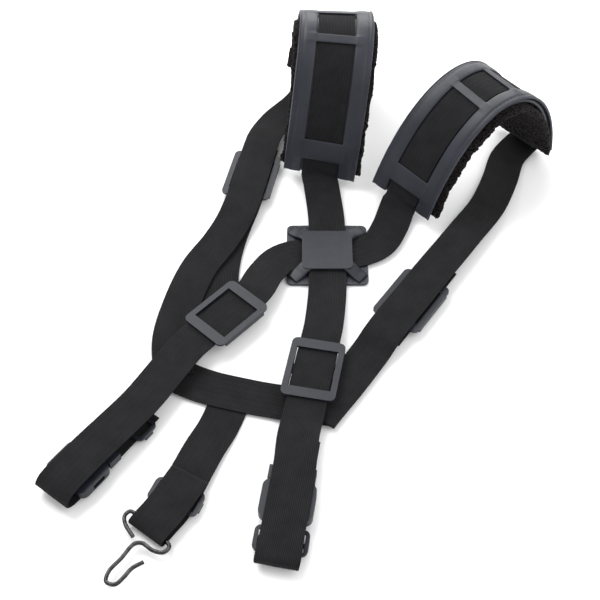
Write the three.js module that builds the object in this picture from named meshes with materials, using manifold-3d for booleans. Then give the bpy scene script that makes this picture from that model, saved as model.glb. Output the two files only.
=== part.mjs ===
// Two-shoulder saxophone harness, laid out flat with its pads standing as arches.
// Millimetres, +Z up. The origin is under the middle of the cross plate, on the table.
import * as THREE from "three";
import { mergeVertices } from "three/addons/utils/BufferGeometryUtils.js";
import Module from "manifold-3d";

const WEBBING = { width: 40, thick: 1.6 };
const SLIDER_LONG = { width: 54, length: 70, rail: 6, endBar: 11, middleBar: 11 };
const SLIDER_SHORT = { width: 50, length: 26, rail: 3.8, endBar: 4, middleBar: 4 };
const SLIDER_PLATE = 2.5;
const WEBBING_GAP = 0.3;
const PAD_GAP = 0.9;
const BRIDGE_GAP = 0.6;
const PAD = { liningWidth: 100, liningThick: 8, foamWidth: 78, foamThick: 4 };
const COVER = { width: 80, channel: 43, thick: 2.8, bridgeThick: 1.5, bridgeOverlap: 5 };
const BRIDGES = [[0.04, 0.09], [0.4, 0.435], [0.565, 0.6], [0.91, 0.96]];
const ARCH_START = THREE.MathUtils.degToRad(25);
const PLATE = { width: 87, length: 84, thick: 2.6, radius: 6, cover: 54, coverThick: 2.8 };
const BUCKLE = { width: 50, socket: 40, plugBase: 14, height: 9, wall: 2, prong: 24 };
const WIRE_RADIUS = 1.9;
const LOW_WEBBING = 5.2;
const BUCKLE_FLOOR = 6.6;
const PLATE_FLOOR = 0.4;
const PLATE_COVER_FLOOR = 8;
const PLATE_LEG = { width: 4, place: 24, overlap: 0.5 };

const leather = { color: 0x2b2e38, roughness: 0.55, metalness: 0 };
const terry = { color: 0x16151a, roughness: 1, metalness: 0 };
const foam = { color: 0x3a3a3a, roughness: 0.95, metalness: 0 };
const weave = { color: 0x17171a, roughness: 0.9, metalness: 0 };
const plastic = { color: 0x23262f, roughness: 0.5, metalness: 0 };
const steel = { color: 0x2c2d30, roughness: 0.25, metalness: 0.9 };

const wasm = await Module();
wasm.setup();

const harness = new THREE.Group();
const UP = new THREE.Vector3(0, 0, 1);

function addMesh(name, geometry, finish, parent = harness) {
  const mesh = new THREE.Mesh(geometry, new THREE.MeshStandardMaterial(finish));
  mesh.name = name;
  parent.add(mesh);
  return mesh;
}

function solidFrom(geometry) {
  const bare = geometry.clone();
  bare.deleteAttribute("normal");
  bare.deleteAttribute("uv");
  const merged = mergeVertices(bare, 1e-4);
  return new wasm.Manifold(
    new wasm.Mesh({
      numProp: 3,
      vertProperties: merged.attributes.position.array,
      triVerts: new Uint32Array(merged.index.array),
    }),
  );
}

function geometryFrom(solid) {
  const mesh = solid.getMesh();
  const geometry = new THREE.BufferGeometry();
  geometry.setAttribute("position", new THREE.BufferAttribute(mesh.vertProperties, 3));
  geometry.setIndex(new THREE.BufferAttribute(mesh.triVerts, 1));
  return geometry;
}

function joined(geometries) {
  const [first, ...rest] = geometries.map(solidFrom);
  return geometryFrom(rest.reduce((sum, next) => sum.add(next), first));
}

function box(width, length, height, x, y, z) {
  return new THREE.BoxGeometry(width, length, height).translate(x, y, z);
}

function roundedRectangle(width, length, radius) {
  const [w, l] = [width / 2, length / 2];
  const outline = new THREE.Shape();
  outline.moveTo(-w + radius, -l);
  outline.absarc(w - radius, -l + radius, radius, -Math.PI / 2, 0, false);
  outline.absarc(w - radius, l - radius, radius, 0, Math.PI / 2, false);
  outline.absarc(-w + radius, l - radius, radius, Math.PI / 2, Math.PI, false);
  outline.absarc(-w + radius, -l + radius, radius, Math.PI, Math.PI * 1.5, false);
  return outline;
}

function slab(shape, bottom, height) {
  const flat = new THREE.ExtrudeGeometry(shape, {
    depth: height,
    bevelEnabled: false,
    curveSegments: 4,
  });
  return flat.translate(0, 0, bottom);
}

// A station is a point with the direction across the strap and the direction out of its face.
function stationsFrom(points, sides) {
  let side = null;
  return points.map((point, i) => {
    const before = points[Math.max(i - 1, 0)];
    const after = points[Math.min(i + 1, points.length - 1)];
    const along = after.clone().sub(before).normalize();
    if (sides) {
      side = sides[i].clone();
    } else if (Math.hypot(along.x, along.y) > 0.35 || !side) {
      const turned = new THREE.Vector3().crossVectors(UP, along).normalize();
      side = side && turned.dot(side) < 0 ? turned.negate() : turned;
    }
    side = side.clone().addScaledVector(along, -side.dot(along)).normalize();
    const out = new THREE.Vector3().crossVectors(along, side).normalize();
    return { point, side, out };
  });
}

// Sweeps a flat rectangular section along the stations, as one closed body.
function sweep(stations, width, thick, across = 0, above = 0) {
  const positions = [];
  const index = [];
  for (const { point, side, out } of stations) {
    for (const [s, n] of [[1, 1], [-1, 1], [-1, -1], [1, -1]]) {
      const corner = point.clone();
      corner.addScaledVector(side, across + (s * width) / 2);
      corner.addScaledVector(out, above + (n * thick) / 2);
      positions.push(corner.x, corner.y, corner.z);
    }
  }
  index.push(0, 3, 2, 0, 2, 1);
  for (let i = 0; i < stations.length - 1; i++) {
    for (let k = 0; k < 4; k++) {
      const [a, b] = [i * 4 + k, i * 4 + ((k + 1) % 4)];
      index.push(a, b, b + 4, a, b + 4, a + 4);
    }
  }
  const last = (stations.length - 1) * 4;
  index.push(last, last + 1, last + 2, last, last + 2, last + 3);
  const geometry = new THREE.BufferGeometry();
  geometry.setAttribute("position", new THREE.Float32BufferAttribute(positions, 3));
  geometry.setIndex(index);
  return geometry;
}

function smooth(points, steps) {
  const corners = points.map((p) => new THREE.Vector3(...p));
  return new THREE.CatmullRomCurve3(corners, false, "centripetal").getPoints(steps);
}

function strap(name, points, steps = 32) {
  const stations = stationsFrom(smooth(points, steps));
  addMesh(name, sweep(stations, WEBBING.width, WEBBING.thick), weave);
}

// Gives the point a distance back from a strap's fold, on its straight run, at height z.
function foldLine(fold, heading) {
  return (distance, z) => [fold[0] - heading[0] * distance, fold[1] - heading[1] * distance, z];
}

// ---- shoulder pads ----

function archStations(pad, from, to, steps) {
  const [near, far, bulge] = [pad.near, pad.far, pad.bulge].map((p) => new THREE.Vector2(...p));
  const points = [];
  const sides = [];
  for (let i = 0; i <= steps; i++) {
    const share = from + ((to - from) * i) / steps;
    const angle = ARCH_START + (Math.PI - 2 * ARCH_START) * share;
    const run = (1 - Math.cos(angle) / Math.cos(ARCH_START)) / 2;
    const rise = (Math.sin(angle) - Math.sin(ARCH_START)) / (1 - Math.sin(ARCH_START));
    const plan = near.clone().lerp(far, run).addScaledVector(bulge, rise);
    points.push(new THREE.Vector3(plan.x, plan.y, pad.floor + pad.height * rise));
    const [a, b] = share < 0.5 ? [pad.sides[0], pad.sides[1]] : [pad.sides[1], pad.sides[2]];
    const blend = share < 0.5 ? share * 2 : share * 2 - 1;
    sides.push(new THREE.Vector3(...a).lerp(new THREE.Vector3(...b), blend).normalize().negate());
  }
  return stationsFrom(points, sides);
}

function addPad(name, pad) {
  const arch = archStations(pad, 0, 1, 32);
  const foamMiddle = PAD.liningThick / 2 + PAD_GAP + PAD.foamThick / 2;
  const faceFloor = foamMiddle + PAD.foamThick / 2 + PAD_GAP;
  const stripWidth = (COVER.width - COVER.channel) / 2;
  const stripMiddle = (COVER.channel + stripWidth) / 2;
  const bridgeFloor = faceFloor + WEBBING.thick + BRIDGE_GAP;
  const bridgeWidth = COVER.channel + 2 * COVER.bridgeOverlap;
  const bridgeMiddle = bridgeFloor + COVER.bridgeThick / 2;
  const coverMiddle = faceFloor + COVER.thick / 2;

  addMesh(`${name}_pad_lining`, sweep(arch, PAD.liningWidth, PAD.liningThick), terry);
  addMesh(`${name}_pad_foam`, sweep(arch, PAD.foamWidth, PAD.foamThick, 0, foamMiddle), foam);
  const strips = [-1, 1].map((hand) =>
    sweep(arch, stripWidth, COVER.thick, hand * stripMiddle, coverMiddle),
  );
  const bridges = BRIDGES.map(([from, to]) =>
    sweep(archStations(pad, from, to, 3), bridgeWidth, COVER.bridgeThick, 0, bridgeMiddle),
  );
  addMesh(`${name}_pad_cover`, joined([...strips, ...bridges]), leather);
  const webbingMiddle = faceFloor + WEBBING.thick / 2;
  addMesh(
    `${name}_pad_webbing`,
    sweep(arch, WEBBING.width, WEBBING.thick, 0, webbingMiddle),
    weave,
  );
}

addPad("left", {
  near: [-6, 122],
  far: [0, 297],
  bulge: [14, 0],
  floor: 11,
  height: 126,
  sides: [[0.98, -0.18, 0], [1, 0, -0.05], [1, 0.03, 0]],
});
addPad("right", {
  near: [89, 76],
  far: [225, 172],
  bulge: [12, 13],
  floor: 11,
  height: 100,
  sides: [[0.74, -0.67, 0], [0.62, -0.78, 0.03], [0.68, -0.73, 0]],
});

// ---- cross plate ----

const plateTop = PLATE_FLOOR + PLATE.thick;
const legFloor = plateTop + WEBBING_GAP;
addMesh(
  "cross_plate_base",
  slab(roundedRectangle(PLATE.width, PLATE.length, PLATE.radius), PLATE_FLOOR, PLATE.thick),
  leather,
);
const legHeight = PLATE_COVER_FLOOR - legFloor + PLATE_LEG.overlap;
const legs = [[-1, -1], [1, -1], [1, 1], [-1, 1]].map(([x, y]) =>
  box(
    PLATE_LEG.width,
    PLATE_LEG.width,
    legHeight,
    x * PLATE_LEG.place,
    y * PLATE_LEG.place,
    legFloor + legHeight / 2,
  ),
);
const plateCover = slab(
  roundedRectangle(PLATE.cover, PLATE.cover, PLATE.radius),
  PLATE_COVER_FLOOR,
  PLATE.coverThick,
);
addMesh("cross_plate_cover", joined([plateCover, ...legs]), plastic);

// ---- straps ----

strap("left_shoulder_strap", [
  [-5.7, 104, 9], [-3, 80, 6.4], [0, 45, 6.4], [0, 0, 6.4], [0, -42, 6.4],
  [-2, -75, 9], [-5.4, -105, 12], [-8.3, -120, 12], [-23.8, -200, 12], [-26.6, -215, 12], [-31, -240, 16],
  [-34, -270, 18], [-44, -335, 18], [-48, -357, 18],
  [-50, -367, 14.8], [-50, -367, 8.4], [-48.3, -358, LOW_WEBBING], [-47.5, -352, LOW_WEBBING],
  [-44.5, -332, LOW_WEBBING], [-42.4, -318, LOW_WEBBING],
], 72);
strap("right_shoulder_strap", [
  [78, 61, 9], [69, 36, 6], [55, 12, 5], [32, 1, 4.3], [0, 0, 4.3], [-32, -1, 4.3],
  [-50, -10, 6], [-66, -36, 12], [-75, -59, 16.4], [-82, -69.4, 16], [-104, -93, 16],
  [-141, -132.7, 16], [-157, -158, 16], [-181, -199, 18], [-210, -239, 21], [-245, -286, 22],
  [-252, -296, 19.5], [-255, -300, 13.6], [-252, -296, 7.5], [-245, -286, LOW_WEBBING],
  [-233, -270, LOW_WEBBING],
], 80);
strap("left_front_strap", [
  [0.5, 311.5, 8], [-0.5, 309, 3], [-5, 299, 1.4], [-12, 284, 1.4], [-28, 250, 2],
  [-56, 212, 4], [-70, 178, 11], [-75, 155, 13.5],
  [-94.4, 64, 13.5], [-104, 38, 10], [-116, 14, 8], [-136, -20, 6.2], [-150, -62, 5.4],
  [-159, -114, 5.2], [-154, -162, 5.2],
], 48);
strap("left_front_tail", [
  [-74, 160, 8], [-84, 113, 8], [-94.4, 64, 8], [-100, 46, 6.6], [-108, 18, 3.4],
  [-114, -25, 2.6], [-113, -62, 2.6], [-110, -96, 2.6],
], 28);
strap("right_front_strap", [
  [237, 181, 8], [235, 179, 3], [227, 171, 1.4], [212, 150, 2], [198, 110, 5],
  [178, 64, 10], [150, 22, 13.5],
  [56, -113, 13.5], [42, -133, 6.8], [18, -168, 5.2], [-13, -212, 5.2],
], 44);
strap("right_front_tail", [[120, -21.1, 8], [86, -69.9, 8], [54, -115.9, 8]], 14);
strap("chest_band", [
  [-164, -152, 3.1], [-130, -170, 3.1], [-83, -184, 3.1], [-40, -193, 3.1], [4, -200, 3.1],
], 20);
strap("hook_strap", [
  [-98, -192, 1.2], [-108, -220, 1.6], [-119, -244, 4], [-128, -266, 5.2],
  [-146, -307, 5.2], [-156, -321, 5], [-162, -328, 3.4], [-167, -334.5, 4.6], [-167, -334.5, 9],
  [-161, -327, 12], [-152, -315, 12.4], [-130, -277, 12.4],
], 56);

// ---- sliders ----

// A slider's webbing plane is its own z = 0: the frame sits above it, the middle bar below it.
function sliderGeometry({ width, length, rail, endBar, middleBar }) {
  const clear = WEBBING.thick / 2 + WEBBING_GAP;
  const frame = roundedRectangle(width, length, 6);
  const window = new THREE.Path();
  const [w, l] = [width / 2 - rail, length / 2 - endBar];
  window.moveTo(-w, -l).lineTo(-w, l).lineTo(w, l).lineTo(w, -l).closePath();
  frame.holes.push(window);
  const depth = 2 * clear + SLIDER_PLATE;
  const railBox = [-1, 1].map((hand) =>
    box(rail, length - 16, depth, hand * (w + rail / 2), 0, -depth / 2 + clear + 0.4),
  );
  const barMiddle = -clear - SLIDER_PLATE / 2;
  const bar = box(width - 2, middleBar, SLIDER_PLATE, 0, 0, barMiddle);
  return joined([slab(frame, clear, SLIDER_PLATE), ...railBox, bar]);
}

const longSlider = sliderGeometry(SLIDER_LONG);
const shortSlider = sliderGeometry(SLIDER_SHORT);

// Heading is the direction of the strap in plan; the slider's length lies along it.
function addSlider(name, geometry, place, heading, flipped = false) {
  const holder = new THREE.Group();
  holder.position.set(...place);
  holder.rotation.z = Math.atan2(-heading[0], heading[1]);
  harness.add(holder);
  const slider = addMesh(name, geometry, plastic, holder);
  slider.rotation.y = flipped ? Math.PI : 0;
}

addSlider("left_back_slider", longSlider, [-104, -93, 16], [-0.68, -0.73]);
addSlider("right_back_slider", longSlider, [-16, -160, 12], [-0.19, -0.98]);
addSlider("left_front_slider", longSlider, [-84, 113, 8], [-0.21, -0.978]);
addSlider("right_front_slider", longSlider, [86, -69.9, 8], [-0.571, -0.821]);
addSlider("hook_strap_slider", shortSlider, [-142, -298, LOW_WEBBING], [-0.4, -0.916]);

// ---- waist buckles ----

function socketGeometry() {
  const inner = BUCKLE.width - 2 * BUCKLE.wall;
  const shell = slab(roundedRectangle(BUCKLE.width, BUCKLE.socket, 8), 0, BUCKLE.height);
  const [middle, depth] = [BUCKLE.height / 2, BUCKLE.height - 2 * BUCKLE.wall];
  const mouth = box(inner - 4, BUCKLE.socket, depth, 0, 6, middle);
  const button = box(BUCKLE.width + 2, 14, depth, 0, 2, middle);
  const hollow = solidFrom(mouth).add(solidFrom(button));
  return geometryFrom(solidFrom(shell).subtract(hollow));
}

function plugGeometry() {
  const prongHeight = BUCKLE.height - 2 * BUCKLE.wall - 2 * WEBBING_GAP;
  const front = BUCKLE.socket / 2 + WEBBING_GAP;
  const middle = front + BUCKLE.plugBase / 2;
  const base = box(BUCKLE.width - 6, BUCKLE.plugBase, BUCKLE.height, 0, middle, BUCKLE.height / 2);
  const reach = [-1, 0, 1].map((hand) =>
    box(6, BUCKLE.prong + 1, prongHeight, hand * 15, front - BUCKLE.prong / 2, BUCKLE.height / 2),
  );
  return joined([base, ...reach]);
}

// The fold is the strap's far end; the pieces lie back along the strap from it.
function addWaistBuckle(hand, fold, heading, distance) {
  const place = foldLine(fold, heading);
  const tilt = Math.atan2(heading[0], -heading[1]);
  const holder = new THREE.Group();
  holder.position.set(...place(distance.socket, BUCKLE_FLOOR));
  holder.rotation.z = tilt;
  harness.add(holder);
  addMesh(`${hand}_buckle_socket`, socketGeometry(), plastic, holder);
  addMesh(`${hand}_buckle_plug`, plugGeometry(), plastic, holder);
  const sliderPlace = place(distance.slider, LOW_WEBBING);
  addSlider(`${hand}_waist_slider`, shortSlider, sliderPlace, heading);
  strap(
    `${hand}_buckle_tab`,
    [place(distance.tabStart, LOW_WEBBING), place(distance.tabEnd, LOW_WEBBING)],
    2,
  );
}

addWaistBuckle("left", [-251, -294], [-0.6, -0.8], {
  socket: 28, slider: 98, tabStart: 52, tabEnd: 118,
});
addWaistBuckle("right", [-49, -362], [-0.15, -0.989], {
  socket: 57, slider: 20, tabStart: 80, tabEnd: 128,
});

// ---- wire hook ----

function wireHook() {
  const [across, along] = [new THREE.Vector2(0.735, -0.68), new THREE.Vector2(-0.68, -0.735)];
  const middle = new THREE.Vector2(-162.5, -329.2);
  const at = (a, b) => {
    const plan = middle.clone().addScaledVector(across, a).addScaledVector(along, b);
    return new THREE.Vector3(plan.x, plan.y, 7.7);
  };
  const corners = [
    at(-5, 17), at(-20, 13), at(-26, 8), at(-26, 2), at(-20, 0), at(20, 0), at(26, 2), at(26, 9),
    at(18, 14), at(5, 16), at(1, 21), at(3, 38), at(4.5, 54), at(10, 61.5), at(17.5, 58),
    at(18, 48), at(17, 38), at(20, 27),
  ];
  const centreline = new THREE.CatmullRomCurve3(corners, false, "centripetal");
  const circle = new THREE.Shape().absarc(0, 0, WIRE_RADIUS, 0, Math.PI * 2, false);
  return new THREE.ExtrudeGeometry(circle, {
    steps: 72,
    curveSegments: 5,
    bevelEnabled: false,
    extrudePath: centreline,
  });
}
addMesh("wire_hook", wireHook(), steel);

export default harness;
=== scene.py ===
"""Looks of the two-shoulder saxophone harness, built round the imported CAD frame."""
import math

import bmesh
import bpy
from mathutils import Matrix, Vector, noise


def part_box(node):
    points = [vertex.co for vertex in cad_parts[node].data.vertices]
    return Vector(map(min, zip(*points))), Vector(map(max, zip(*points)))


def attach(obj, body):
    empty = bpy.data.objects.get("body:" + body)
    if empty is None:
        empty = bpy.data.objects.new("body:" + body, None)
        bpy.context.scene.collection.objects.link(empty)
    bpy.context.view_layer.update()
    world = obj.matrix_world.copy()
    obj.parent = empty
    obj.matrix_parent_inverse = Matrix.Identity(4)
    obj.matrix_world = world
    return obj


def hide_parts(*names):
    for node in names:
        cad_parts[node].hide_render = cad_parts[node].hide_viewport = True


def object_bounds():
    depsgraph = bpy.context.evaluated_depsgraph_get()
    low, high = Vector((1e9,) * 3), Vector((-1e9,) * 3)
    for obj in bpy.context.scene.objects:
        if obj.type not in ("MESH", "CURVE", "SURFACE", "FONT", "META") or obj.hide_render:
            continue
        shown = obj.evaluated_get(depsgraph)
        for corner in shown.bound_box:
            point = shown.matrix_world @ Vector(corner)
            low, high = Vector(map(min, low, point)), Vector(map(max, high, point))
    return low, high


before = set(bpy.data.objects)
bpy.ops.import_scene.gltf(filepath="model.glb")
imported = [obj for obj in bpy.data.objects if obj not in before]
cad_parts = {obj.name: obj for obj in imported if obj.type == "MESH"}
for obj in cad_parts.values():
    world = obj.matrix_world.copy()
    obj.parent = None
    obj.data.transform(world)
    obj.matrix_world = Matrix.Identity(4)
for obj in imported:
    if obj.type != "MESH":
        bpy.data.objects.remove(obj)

cad_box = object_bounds()
MM = 0.001
ROOT = "harness"
UP = Vector((0, 0, 1))

WEBBING_WIDTH = 40
WEBBING_THICK = 1.6
WEBBING_STEPS = 34
RIB_HEIGHT = 0.24
STATION_GAP = 2.6
LINING = {"width": 100, "thick": 8}
SWELL_VOXEL = 0.004
SWELL_PRESSURE = 4
SWELL_FRAMES = 20
SWELL_CAP = 0.0022
PILE_HEIGHT = 0.0009
PILE_SCALE = 420
THREAD_RADIUS = 0.35
THREAD_SIDES = 6
STITCH_REACH = 1.3
TACK_ABOVE = 0.95
TACK_REACH = 17
TACK_PITCH = 3.4
PLATE_SEAM_INSET = 4
COVER = {"width": 80, "channel": 43, "above": 12.2, "thick": 3.0}
FOAM_ABOVE = 6.9
WEBBING_ABOVE = 10.6
COVER_STEPS = 14
BRIDGE_RISE = 1.3
SEAM = 35.4
BRIDGES = [(0.04, 0.09), (0.4, 0.435), (0.565, 0.6), (0.91, 0.96)]
ARCH_START = math.radians(25)
LOW_WEBBING = 5.2
WIRE_RADIUS = 1.9

PADS = {
    "left": {
        "near": (-6, 122), "far": (0, 297), "bulge": (14, 0), "floor": 11, "height": 126,
        "sides": [(0.98, -0.18, 0), (1, 0, -0.05), (1, 0.03, 0)],
    },
    "right": {
        "near": (89, 76), "far": (225, 172), "bulge": (12, 13), "floor": 11, "height": 100,
        "sides": [(0.74, -0.67, 0), (0.62, -0.78, 0.03), (0.68, -0.73, 0)],
    },
}

# Where each strap is sewn down, as a share of its length.
TACKS = [
    ("left_front_strap", 0.96), ("right_front_strap", 0.95), ("chest_band", 0.93), ("hook_strap", 0.9),
    ("left_front_strap", 0.62), ("right_front_strap", 0.3),
]

# Centrelines in millimetres, each for the CAD strap of the same name. The front straps start
# a little further up than in CAD, against the end of the pad's webbing.
STRAPS = {
    "left_shoulder_strap": [
        (-5.7, 104, 9), (-3, 80, 6.4), (0, 45, 6.4), (0, 0, 6.4), (0, -42, 6.4),
        (-2, -75, 9), (-5.4, -105, 12), (-8.3, -120, 12), (-23.8, -200, 12), (-26.6, -215, 12),
        (-31, -240, 16),
        (-34, -270, 18), (-44, -335, 18), (-48, -357, 18), (-50, -367, 14.8),
        (-50, -367, 8.4), (-48.3, -358, LOW_WEBBING), (-47.5, -352, LOW_WEBBING),
        (-44.5, -332, LOW_WEBBING), (-42.4, -318, LOW_WEBBING),
    ],
    "right_shoulder_strap": [
        (78, 61, 9), (69, 36, 6), (55, 12, 5), (32, 1, 4.3), (0, 0, 4.3), (-32, -1, 4.3),
        (-50, -10, 6), (-66, -36, 12), (-75, -59, 16.4), (-82, -69.4, 16), (-104, -93, 16),
        (-141, -132.7, 16), (-157, -158, 16), (-181, -199, 18), (-210, -239, 21),
        (-245, -286, 22), (-252, -296, 19.5), (-255, -300, 13.6), (-252, -296, 7.5),
        (-245, -286, LOW_WEBBING), (-233, -270, LOW_WEBBING),
    ],
    "left_front_strap": [
        (0, 306.6, 15.5), (0.5, 310.5, 9), (-0.5, 309, 3), (-5, 299, 1.4), (-12, 284, 1.4),
        (-28, 250, 2), (-56, 212, 4), (-70, 178, 11), (-75, 155, 13.5),
        (-94.4, 64, 13.5), (-104, 38, 10), (-116, 14, 8), (-136, -20, 6.2), (-150, -62, 5.4),
        (-159, -114, 5.2), (-154, -162, 5.2),
    ],
    "left_front_tail": [
        (-74, 160, 8), (-84, 113, 8), (-94.4, 64, 8), (-100, 46, 6.6), (-108, 18, 3.4),
        (-114, -25, 2.6), (-113, -62, 2.6), (-110, -96, 2.6),
    ],
    "right_front_strap": [
        (233, 177.6, 15.5), (236.4, 180.4, 9), (235, 179, 3), (227, 171, 1.4), (212, 150, 2),
        (198, 110, 5), (178, 64, 10), (150, 22, 13.5),
        (56, -113, 13.5), (42, -133, 6.8), (18, -168, 5.2), (-13, -212, 5.2),
    ],
    "right_front_tail": [(120, -21.1, 8), (86, -69.9, 8), (54, -115.9, 8)],
    "chest_band": [
        (-164, -152, 3.1), (-130, -170, 3.1), (-83, -184, 3.1), (-40, -193, 3.1), (4, -200, 3.1),
    ],
    "hook_strap": [
        (-98, -192, 1.2), (-108, -220, 1.6), (-119, -244, 4), (-128, -266, 5.2),
        (-146, -307, 5.2), (-156, -321, 5), (-162, -328, 3.4), (-167, -334.5, 4.6),
        (-167, -334.5, 9), (-161, -327, 12), (-152, -315, 12.4), (-130, -277, 12.4),
    ],
    "left_buckle_tab": [(-219.8, -252.4, LOW_WEBBING), (-180.2, -199.6, LOW_WEBBING)],
    "right_buckle_tab": [(-37, -282.9, LOW_WEBBING), (-29.8, -235.4, LOW_WEBBING)],
}


# ---- materials ----

def new_material(name, color, roughness, metallic=0.0, sheen=0.0, specular=0.5):
    material = bpy.data.materials.new(name)
    material.use_nodes = True
    shader = material.node_tree.nodes["Principled BSDF"]
    shader.inputs["Base Color"].default_value = (*color, 1)
    shader.inputs["Roughness"].default_value = roughness
    shader.inputs["Metallic"].default_value = metallic
    shader.inputs["Sheen Weight"].default_value = sheen
    shader.inputs["Specular IOR Level"].default_value = specular
    return material, material.node_tree, shader


def add_noise(tree, coordinate, scale, detail=4):
    texture = tree.nodes.new("ShaderNodeTexNoise")
    texture.inputs["Scale"].default_value = scale
    texture.inputs["Detail"].default_value = detail
    tree.links.new(coordinate, texture.inputs["Vector"])
    return texture.outputs["Fac"]


def add_wave(tree, coordinate, direction, scale):
    wave = tree.nodes.new("ShaderNodeTexWave")
    wave.bands_direction = direction
    wave.inputs["Scale"].default_value = scale
    wave.inputs["Distortion"].default_value = 0.4
    tree.links.new(coordinate, wave.inputs["Vector"])
    return wave.outputs["Fac"]


def mix_colors(tree, shader, factor, dark, light):
    ramp = tree.nodes.new("ShaderNodeValToRGB")
    ramp.color_ramp.elements[0].color = (*dark, 1)
    ramp.color_ramp.elements[1].color = (*light, 1)
    ramp.color_ramp.elements[0].position = 0.3
    ramp.color_ramp.elements[1].position = 0.75
    tree.links.new(factor, ramp.inputs["Fac"])
    tree.links.new(ramp.outputs["Color"], shader.inputs["Base Color"])


def add_bump(tree, shader, height, strength, distance):
    bump = tree.nodes.new("ShaderNodeBump")
    bump.inputs["Strength"].default_value = strength
    bump.inputs["Distance"].default_value = distance
    tree.links.new(height, bump.inputs["Height"])
    tree.links.new(bump.outputs["Normal"], shader.inputs["Normal"])


def add_math(tree, operation, a, b):
    node = tree.nodes.new("ShaderNodeMath")
    node.operation = operation
    for socket, value in zip(node.inputs, (a, b)):
        if isinstance(value, (int, float)):
            socket.default_value = value
        else:
            tree.links.new(value, socket)
    return node.outputs[0]


def coordinates(tree, kind):
    return tree.nodes.new("ShaderNodeTexCoord").outputs[kind]


def roughness_from(tree, shader, factor, low, high):
    spread = add_math(tree, "MULTIPLY", factor, high - low)
    tree.links.new(add_math(tree, "ADD", spread, low), shader.inputs["Roughness"])


def webbing_material():
    black = (0.005, 0.005, 0.006)
    material, tree, shader = new_material("webbing_weave", black, 0.9, sheen=0.03, specular=0.15)
    uv = coordinates(tree, "UV")
    ribs = add_wave(tree, uv, "X", 190)
    picks = add_wave(tree, uv, "Y", 380)
    weave = add_math(tree, "ADD", ribs, add_math(tree, "MULTIPLY", picks, 0.7))
    patches = add_noise(tree, coordinates(tree, "Object"), 60, 6)
    tone = add_math(tree, "MULTIPLY", add_math(tree, "ADD", weave, patches), 0.4)
    mix_colors(tree, shader, tone, (0.0014, 0.0014, 0.0016), (0.017, 0.017, 0.019))
    add_bump(tree, shader, weave, 0.55, 0.0004)
    return material


def leather_material(name, dark, light):
    material, tree, shader = new_material(name, light, 0.5, sheen=0.05, specular=0.4)
    place = coordinates(tree, "Object")
    grain = tree.nodes.new("ShaderNodeTexVoronoi")
    grain.inputs["Scale"].default_value = 900
    tree.links.new(place, grain.inputs["Vector"])
    clouds = add_noise(tree, place, 26, 6)
    mix_colors(tree, shader, clouds, dark, light)
    roughness_from(tree, shader, clouds, 0.38, 0.58)
    height = add_math(tree, "ADD", grain.outputs["Distance"], add_noise(tree, place, 300))
    add_bump(tree, shader, height, 0.25, 0.0003)
    return material


def terry_material():
    black = (0.006, 0.005, 0.0055)
    material, tree, shader = new_material("terry_pile", black, 1.0, sheen=0.06, specular=0.05)
    place = coordinates(tree, "Object")
    loops = tree.nodes.new("ShaderNodeTexVoronoi")
    loops.inputs["Scale"].default_value = 520
    tree.links.new(place, loops.inputs["Vector"])
    mix_colors(tree, shader, loops.outputs["Distance"], (0.020, 0.017, 0.017), (0.0014, 0.0012, 0.0013))
    add_bump(tree, shader, loops.outputs["Distance"], 0.9, 0.0009)
    return material


def plastic_material():
    material, tree, shader = new_material("moulded_plastic", (0.012, 0.013, 0.019), 0.45, specular=0.35)
    place = coordinates(tree, "Object")
    mottle = add_noise(tree, place, 90, 5)
    mix_colors(tree, shader, mottle, (0.006, 0.007, 0.011), (0.014, 0.016, 0.024))
    roughness_from(tree, shader, mottle, 0.36, 0.55)
    add_bump(tree, shader, add_noise(tree, place, 1400), 0.18, 0.0002)
    return material


def wire_material():
    material, tree, shader = new_material("black_nickel", (0.10, 0.10, 0.11), 0.25, metallic=0.95)
    place = coordinates(tree, "Object")
    wear = add_noise(tree, place, 240, 8)
    mix_colors(tree, shader, wear, (0.018, 0.018, 0.020), (0.075, 0.072, 0.070))
    roughness_from(tree, shader, wear, 0.16, 0.38)
    return material


def thread_material():
    material, tree, shader = new_material("thread", (0.02, 0.022, 0.032), 0.7)
    twist = add_wave(tree, coordinates(tree, "Object"), "DIAGONAL", 700)
    mix_colors(tree, shader, twist, (0.002, 0.002, 0.003), (0.014, 0.015, 0.020))
    add_bump(tree, shader, twist, 0.4, 0.0002)
    return material


WEBBING = webbing_material()
LEATHER = leather_material("leatherette", (0.006, 0.007, 0.012), (0.016, 0.018, 0.029))
# Same leatherette as the cover in a lighter tone, used on the rolled edges: a painted highlight.
PAINTED_HIGHLIGHT_LEATHER = leather_material("leatherette_painted_highlight", (0.014, 0.016, 0.026), (0.036, 0.040, 0.058))
TERRY = terry_material()
PLASTIC = plastic_material()
WIRE = wire_material()
THREAD = thread_material()


# ---- geometry helpers ----

class Station:
    """A point on a centreline, with the direction across the piece and out of its face."""

    def __init__(self, point, side, out, run):
        self.point, self.side, self.out, self.run = point, side, out, run

    def at(self, across, above):
        return (self.point + self.side * across + self.out * above) * MM


def stations(points, sides=None):
    made = []
    side = None
    run = 0.0
    for i, point in enumerate(points):
        after = points[min(i + 1, len(points) - 1)]
        before = points[max(i - 1, 0)]
        along = (after - before).normalized()
        if sides:
            side = sides[i].copy()
        elif math.hypot(along.x, along.y) > 0.35 or side is None:
            turned = UP.cross(along).normalized()
            side = -turned if side is not None and turned.dot(side) < 0 else turned
        side = (side - along * side.dot(along)).normalized()
        if i:
            run += (point - points[i - 1]).length
        made.append(Station(point, side, along.cross(side).normalized(), run))
    return made


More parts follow.
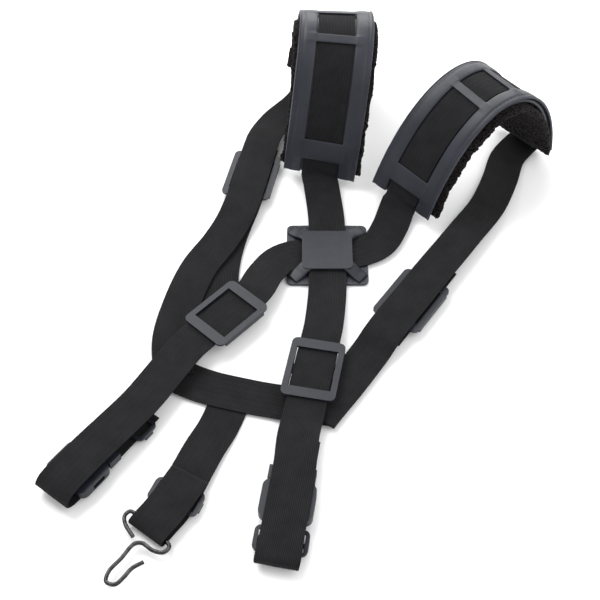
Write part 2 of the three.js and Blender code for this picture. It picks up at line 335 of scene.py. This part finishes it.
def catmull_rom(points, gap=STATION_GAP):
    """Points a fixed gap apart on a centripetal Catmull-Rom curve, as the CAD straps follow."""
    corners = [Vector(p) for p in points]
    corners = [2 * corners[0] - corners[1], *corners, 2 * corners[-1] - corners[-2]]
    curve = []
    for p0, p1, p2, p3 in zip(corners, corners[1:], corners[2:], corners[3:]):
        knots = [0.0]
        for a, b in ((p0, p1), (p1, p2), (p2, p3)):
            knots.append(knots[-1] + max((b - a).length, 1e-4) ** 0.5)
        t0, t1, t2, t3 = knots
        steps = max(int((p2 - p1).length / gap), 2)
        for k in range(steps):
            t = t1 + (t2 - t1) * k / steps
            a1 = p0.lerp(p1, (t - t0) / (t1 - t0))
            a2 = p1.lerp(p2, (t - t1) / (t2 - t1))
            a3 = p2.lerp(p3, (t - t2) / (t3 - t2))
            b1 = a1.lerp(a2, (t - t0) / (t2 - t0))
            b2 = a2.lerp(a3, (t - t1) / (t3 - t1))
            curve.append(b1.lerp(b2, (t - t1) / (t2 - t1)))
    return [*curve, corners[-2]]


def arch(pad, count=150):
    """Stations along a pad's arch, from its near end (0) to its far end (1)."""
    near, far, bulge = (Vector(pad[key]) for key in ("near", "far", "bulge"))
    first, crest, last = (Vector(side) for side in pad["sides"])
    points, sides = [], []
    for i in range(count + 1):
        share = i / count
        angle = ARCH_START + (math.pi - 2 * ARCH_START) * share
        run = (1 - math.cos(angle) / math.cos(ARCH_START)) / 2
        rise = (math.sin(angle) - math.sin(ARCH_START)) / (1 - math.sin(ARCH_START))
        plan = near.lerp(far, run) + bulge * rise
        points.append(Vector((plan.x, plan.y, pad["floor"] + pad["height"] * rise)))
        side = first.lerp(crest, share * 2) if share < 0.5 else crest.lerp(last, share * 2 - 1)
        sides.append(-side.normalized())
    return stations(points, sides)


def rounded_section(width, thick, steps, ripple=None, crown=0.0):
    """Closed outline (across, above) with round edges: top left to right, then back under."""
    radius = thick / 2
    flat = width / 2 - radius
    spread = [flat * (2 * i / steps - 1) for i in range(steps + 1)]

    def lift(i, x):
        return crown * (1 - (x / (width / 2)) ** 2) + (ripple(i) if ripple else 0)

    top = [(x, radius + lift(i, x)) for i, x in enumerate(spread)]
    right = [(flat + radius * math.cos(a), radius * math.sin(a)) for a in (0.8, 0, -0.8)]
    bottom = [(x, -radius - (ripple(i) if ripple else 0)) for i, x in enumerate(spread)][::-1]
    left = [(-flat - radius * math.cos(a), -radius * math.sin(a)) for a in (0.8, 0, -0.8)]
    return top + right + bottom + left


def loft(name, line, section, shape, material, above=0.0, across=0.0):
    """Closed body swept along the stations. shape moves a section point (x, z, station)."""
    mesh = bpy.data.meshes.new(name)
    build = bmesh.new()
    uv = build.loops.layers.uv.new("UVMap")
    rings = []
    for place in line:
        ring = []
        for x, z in section:
            if shape:
                x, z = shape(x, z, place)
            ring.append(build.verts.new(place.at(x + across, z + above)))
        rings.append(ring)
    count = len(section)
    for i, (ring, after) in enumerate(zip(rings, rings[1:])):
        for k in range(count):
            j = (k + 1) % count
            face = build.faces.new((ring[k], ring[j], after[j], after[k]))
            marks = ((k, i), (j, i), (j, i + 1), (k, i + 1))
            for loop, (corner, row) in zip(face.loops, marks):
                loop[uv].uv = (section[corner][0] * MM, line[row].run * MM)
            face.smooth = True
    build.faces.new(rings[0][::-1])
    build.faces.new(rings[-1])
    bmesh.ops.recalc_face_normals(build, faces=build.faces)
    build.to_mesh(mesh)
    build.free()
    piece = bpy.data.objects.new(name, mesh)
    bpy.context.collection.objects.link(piece)
    mesh.materials.append(material)
    return piece


def settle(piece, body, slot, *nodes):
    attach(piece, body)
    if nodes:
        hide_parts(*nodes)


# ---- webbing ----

def rib(i):
    return RIB_HEIGHT / 2 if i % 2 else -RIB_HEIGHT / 2


def webbing_shape(x, z, place):
    """Slight waver of the edges and a soft roll of the surface, as woven nylon lies."""
    seed = Vector((place.point.x, place.point.y, 0)) * 0.022
    waver = 0.35 * noise.noise(seed)
    roll = 0.22 * noise.noise(Vector((x * 0.06, place.run * 0.03, 3)))
    return x + waver, z + roll


def webbing_section():
    return rounded_section(WEBBING_WIDTH, WEBBING_THICK - RIB_HEIGHT, WEBBING_STEPS, rib)


def add_webbing(name, line, *nodes):
    piece = loft(name, line, webbing_section(), webbing_shape, WEBBING)
    settle(piece, ROOT, "webbing", *nodes)


def shoulder_line(pad, strap_points):
    """Webbing from the pad's far end, over its crest and on down the back strap."""
    over_pad = arch(pad)[::-1]
    points = [s.point + s.out * WEBBING_ABOVE for s in over_pad]
    sides = [-s.side for s in over_pad]
    flat = stations(catmull_rom(strap_points))
    bridge = catmull_rom([points[-1], flat[0].point])[1:-1]
    points += bridge + [s.point for s in flat]
    sides += [flat[0].side] * len(bridge) + [s.side for s in flat]
    return stations(points, sides)


def build_straps():
    for hand in ("left", "right"):
        name = f"{hand}_shoulder_strap"
        line = shoulder_line(PADS[hand], STRAPS[name])
        add_webbing(f"{hand}_shoulder_webbing", line, name, f"{hand}_pad_webbing")
    for name, points in STRAPS.items():
        if not name.endswith("shoulder_strap"):
            add_webbing(f"{name}_webbing", stations(catmull_rom(points)), name)


# ---- pads ----

def cover_height(x, bridged):
    """Height of the leather over the pad: padded at the sides, sunk at the stitching."""
    reach = abs(x)
    inner = COVER["channel"] / 2
    outer = COVER["width"] / 2
    if reach < inner:
        return BRIDGE_RISE if bridged else 0
    share = (reach - inner) / (outer - inner)
    padded = 1.1 * math.sin(math.pi * min(max(share, 0), 1)) ** 0.6
    groove = 0.8 * math.exp(-(((reach - SEAM) / 0.8) ** 2))
    return padded - groove + (BRIDGE_RISE * (1 - share) ** 2 if bridged else 0)


def leather_cover(name, pad):
    """One leather sheet over the pad, with windows between its bridges, as a closed mesh."""
    line = arch(pad)
    inner = COVER["channel"] / 2
    outer = COVER["width"] / 2
    sides = [inner + (outer - inner) * k / COVER_STEPS for k in range(COVER_STEPS + 1)]
    middle = [inner * (2 * k / COVER_STEPS - 1) for k in range(1, COVER_STEPS)]
    columns = [-x for x in sides[::-1]] + middle + sides
    rows = len(line)

    def is_bridged(row):
        return any(start <= (row + 0.5) / (rows - 1) <= stop for start, stop in BRIDGES)

    def is_leather(row, column):
        if not (0 <= row < rows - 1 and 0 <= column < len(columns) - 1):
            return False
        centre = (columns[column] + columns[column + 1]) / 2
        return abs(centre) > inner or is_bridged(row)

    build = bmesh.new()
    corners = {}

    def corner(row, column, face):
        if (row, column, face) not in corners:
            place, x = line[row], columns[column]
            bridged = is_bridged(row) or is_bridged(row - 1)
            dent = 0.3 * noise.noise(Vector((x * 0.05, place.run * 0.03, 9)))
            if face:
                height = COVER["above"] + cover_height(x, bridged) + dent
            else:
                lift = BRIDGE_RISE if bridged and abs(x) <= inner + 0.1 else 0
                height = COVER["above"] - COVER["thick"] / 2 + lift
            corners[row, column, face] = build.verts.new(place.at(x, height))
        return corners[row, column, face]

    for row in range(rows - 1):
        for column in range(len(columns) - 1):
            if not is_leather(row, column):
                continue
            ring = [(row, column), (row, column + 1), (row + 1, column + 1), (row + 1, column)]
            build.faces.new([corner(*spot, True) for spot in ring])
            build.faces.new([corner(*spot, False) for spot in ring[::-1]])
            beyond = [(row - 1, column), (row, column + 1), (row + 1, column), (row, column - 1)]
            for k, neighbour in enumerate(beyond):
                if not is_leather(*neighbour):
                    a, b = ring[k], ring[(k + 1) % 4]
                    wall = (corner(*b, True), corner(*a, True), corner(*a, False), corner(*b, False))
                    build.faces.new(wall)
    bmesh.ops.recalc_face_normals(build, faces=build.faces)
    for face in build.faces:
        face.smooth = True
    mesh = bpy.data.meshes.new(name)
    build.to_mesh(mesh)
    build.free()
    mesh.materials.append(LEATHER)
    piece = bpy.data.objects.new(name, mesh)
    bpy.context.collection.objects.link(piece)
    rounding = piece.modifiers.new("turned_edge", "BEVEL")
    rounding.width = 0.5 * MM
    rounding.segments = 2
    rounding.limit_method = "ANGLE"
    rounding.angle_limit = math.radians(50)
    return piece


def stitch_row(name, line, across, above, pitch=4.2):
    """A row of short thread stitches along the stations, as one mesh."""
    build = bmesh.new()
    due = pitch / 2
    for before, place in zip(line, line[1:]):
        if place.run < due:
            continue
        due += pitch
        along = (place.point - before.point).normalized()
        middle = place.point + place.side * across + place.out * above
        rings = []
        for reach in (-STITCH_REACH, STITCH_REACH):
            ring = []
            for turn in range(THREAD_SIDES):
                angle = math.tau * turn / THREAD_SIDES
                spread = place.side * math.cos(angle) + place.out * math.sin(angle)
                ring.append(build.verts.new((middle + spread * THREAD_RADIUS + along * reach) * MM))
            rings.append(ring)
        for turn in range(THREAD_SIDES):
            after = (turn + 1) % THREAD_SIDES
            build.faces.new((rings[0][turn], rings[0][after], rings[1][after], rings[1][turn]))
        build.faces.new(rings[0][::-1])
        build.faces.new(rings[1])
    bmesh.ops.recalc_face_normals(build, faces=build.faces)
    mesh = bpy.data.meshes.new(name)
    build.to_mesh(mesh)
    build.free()
    mesh.materials.append(THREAD)
    piece = bpy.data.objects.new(name, mesh)
    bpy.context.collection.objects.link(piece)
    settle(piece, ROOT, "leather")


def baked(piece):
    """Replaces the piece's mesh by the result of its modifiers."""
    graph = bpy.context.evaluated_depsgraph_get()
    mesh = bpy.data.meshes.new_from_object(piece.evaluated_get(graph))
    piece.modifiers.clear()
    piece.data = mesh


def puff(piece):
    """Swells a soft piece with a short cloth simulation, each point moving at most SWELL_CAP."""
    remesh = piece.modifiers.new("even_mesh", "REMESH")
    remesh.mode = "VOXEL"
    remesh.voxel_size = SWELL_VOXEL
    baked(piece)
    rest = [v.co.copy() for v in piece.data.vertices]
    cloth = piece.modifiers.new("swell", "CLOTH")
    cloth.settings.use_pressure = True
    cloth.settings.uniform_pressure_force = SWELL_PRESSURE
    cloth.settings.effector_weights.gravity = 0
    for frame_number in range(1, SWELL_FRAMES + 1):
        bpy.context.scene.frame_set(frame_number)
    baked(piece)
    for vertex, start in zip(piece.data.vertices, rest):
        move = vertex.co - start
        if move.length > SWELL_CAP:
            vertex.co = start + move * (SWELL_CAP / move.length)
    bpy.context.scene.frame_set(1)
    smooth = piece.modifiers.new("fine_mesh", "SUBSURF")
    smooth.levels = smooth.render_levels = 2
    baked(piece)


def raise_pile(piece):
    """Terry loops as geometry: the surface is raised and sunk along its normals."""
    mesh = piece.data
    normals = [v.normal.copy() for v in mesh.vertices]
    for vertex, normal in zip(mesh.vertices, normals):
        spot = vertex.co * PILE_SCALE
        loop = noise.noise(spot) + 0.6 * noise.noise(spot * 2.1)
        vertex.co += normal * (PILE_HEIGHT * loop)
    for face in mesh.polygons:
        face.use_smooth = True


def build_pad(hand):
    pad = PADS[hand]
    section = rounded_section(LINING["width"] - 3, LINING["thick"] - 2, 20)
    lining = loft(f"{hand}_lining", arch(pad), section, None, TERRY)
    puff(lining)
    raise_pile(lining)
    settle(lining, ROOT, "terry", f"{hand}_pad_lining")

    body = loft(
        f"{hand}_padding", arch(pad), rounded_section(77, 5, 20), None, LEATHER, FOAM_ABOVE
    )
    settle(body, ROOT, "leather", f"{hand}_pad_foam")

    settle(leather_cover(f"{hand}_cover", pad), ROOT, "leather", f"{hand}_pad_cover")
    for number, turn in enumerate((-1, 1)):
        rolled = rounded_section(2.4, 2.6, 3)
        edge_at = turn * (COVER["width"] / 2 - 0.4)
        name = f"{hand}_rolled_edge_{number}"
        # The rolled edge takes the lighter leatherette copy, which is a painted highlight.
        edge = loft(name, arch(pad), rolled, None, PAINTED_HIGHLIGHT_LEATHER, COVER["above"] - 0.2, edge_at)
        settle(edge, ROOT, "leather")
        stitch_row(f"{hand}_stitches_{number}", arch(pad), turn * SEAM, COVER["above"] + 0.35)


# ---- moulded pieces and the hook ----

def finish_node(name, material, bevel):
    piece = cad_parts[name]
    piece.data.materials.clear()
    piece.data.materials.append(material)
    rounding = piece.modifiers.new("edge_rounding", "BEVEL")
    rounding.width = bevel * MM
    rounding.segments = 3
    rounding.limit_method = "ANGLE"
    rounding.angle_limit = math.radians(40)
    for face in piece.data.polygons:
        face.use_smooth = False


def finish_moulded():
    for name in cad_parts:
        if "slider" in name:
            finish_node(name, PLASTIC, 0.8)
        elif "socket" in name or "plug" in name:
            finish_node(name, PLASTIC, 0.9)
    finish_node("cross_plate_base", LEATHER, 0.8)
    finish_node("cross_plate_cover", PLASTIC, 1.0)


def build_plate_details():
    """Sloping corner legs of the raised cover, and the stitching round the base."""
    for number, (x, y) in enumerate(((1, 1), (1, -1), (-1, 1), (-1, -1))):
        slope = [(15 * x, 15 * y, 8.7), (24 * x, 23 * y, 8.7), (31 * x, 29 * y, 5.2), (38 * x, 35 * y, 3.4)]
        leg = rounded_section(15, 2.2, 8, crown=0.5)
        piece = loft(f"plate_leg_{number}", stations(catmull_rom(slope, 1.2)), leg, None, PLASTIC)
        settle(piece, ROOT, "plastic")
    low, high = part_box("cross_plate_base")
    left, front = low[0] / MM + PLATE_SEAM_INSET, low[1] / MM + PLATE_SEAM_INSET
    right, back = high[0] / MM - PLATE_SEAM_INSET, high[1] / MM - PLATE_SEAM_INSET
    top = high[2] / MM
    corners = [(left, front), (right, front), (right, back), (left, back), (left, front)]
    for number, (start, stop) in enumerate(zip(corners, corners[1:])):
        seam = stations(straight((*start, top), (*stop, top)))
        stitch_row(f"plate_stitches_{number}", seam, 0, 0.1)


def straight(start, stop):
    """Points about 1 mm apart from start to stop."""
    start, stop = Vector(start), Vector(stop)
    steps = max(int((stop - start).length), 2)
    return [start.lerp(stop, k / steps) for k in range(steps + 1)]


def build_bar_tacks():
    """Rows of stitches across the webbing where two straps are sewn together."""
    for name, share in TACKS:
        line = stations(catmull_rom(STRAPS[name]))
        for number in range(3):
            place = line[int(share * (len(line) - 1)) + number * 2]
            ends = [
                place.point + place.side * reach + place.out * TACK_ABOVE
                for reach in (-TACK_REACH, TACK_REACH)
            ]
            seam = stations(straight(*ends))
            stitch_row(f"{name}_tack_{int(share * 100)}_{number}", seam, 0, 0, TACK_PITCH)


def build_hook():
    across, along = Vector((0.735, -0.68)), Vector((-0.68, -0.735))
    middle = Vector((-162.5, -329.2))
    bends = [
        (-5, 17), (-20, 13), (-26, 8), (-26, 2), (-20, 0), (20, 0), (26, 2), (26, 9), (18, 14),
        (5, 16), (1, 21), (3, 38), (4.5, 54), (10, 61.5), (17.5, 58), (18, 48), (17, 38), (20, 27),
    ]
    corners = [(*(middle + across * a + along * b), 7.7) for a, b in bends]
    line = stations(catmull_rom(corners, 1.0))
    turns = [math.tau * k / 14 for k in range(14)]
    circle = [(WIRE_RADIUS * math.cos(turn), WIRE_RADIUS * math.sin(turn)) for turn in turns]
    piece = loft("hook_wire", line, circle[::-1], None, WIRE)
    settle(piece, "hook", "wire", "wire_hook")


# ---- studio ----

def build_studio():
    floor_mesh = bpy.data.meshes.new("floor")
    reach, drop = 6.0, cad_box[0][2] - 0.001
    corners = [(-reach, -reach, drop), (reach, -reach, drop), (reach, reach, drop), (-reach, reach, drop)]
    floor_mesh.from_pydata(corners, [], [(0, 1, 2, 3)])
    floor = bpy.data.objects.new("floor", floor_mesh)
    bpy.context.collection.objects.link(floor)
    floor_mesh.materials.append(new_material("floor_white", (0.92, 0.92, 0.92), 0.9)[0])
    world = bpy.data.worlds.new("studio")
    bpy.context.scene.world = world
    world.use_nodes = True
    world.node_tree.nodes["Background"].inputs["Color"].default_value = (1, 1, 1, 1)
    world.node_tree.nodes["Background"].inputs["Strength"].default_value = 0.9
    for name, place, power, size in (
        ("key", (-0.9, 0.9, 1.8), 38, 1.4),
        ("fill", (1.4, -0.6, 1.6), 18, 1.8),
        ("rim", (0.2, 1.8, 1.0), 22, 1.2),
    ):
        light = bpy.data.lights.new(name, "AREA")
        light.energy, light.size = power, size
        lamp = bpy.data.objects.new(name, light)
        lamp.location = place
        lamp.rotation_euler = (Vector((0, 0, 0.03)) - Vector(place)).to_track_quat("-Z", "Y").to_euler()
        bpy.context.collection.objects.link(lamp)
    camera = bpy.data.objects.new("camera", bpy.data.cameras.new("camera"))
    camera.data.lens = 68.4
    camera.location = (-0.0292, -0.8126, 0.9279)
    aim = Vector((-0.0292, -0.0612, 0))
    camera.rotation_euler = (aim - camera.location).to_track_quat("-Z", "Y").to_euler()
    bpy.context.collection.objects.link(camera)
    bpy.context.scene.camera = camera
    bpy.context.scene.view_settings.view_transform = "Standard"


build_straps()
build_pad("left")
build_pad("right")
finish_moulded()
build_plate_details()
build_bar_tacks()
build_hook()
build_studio()
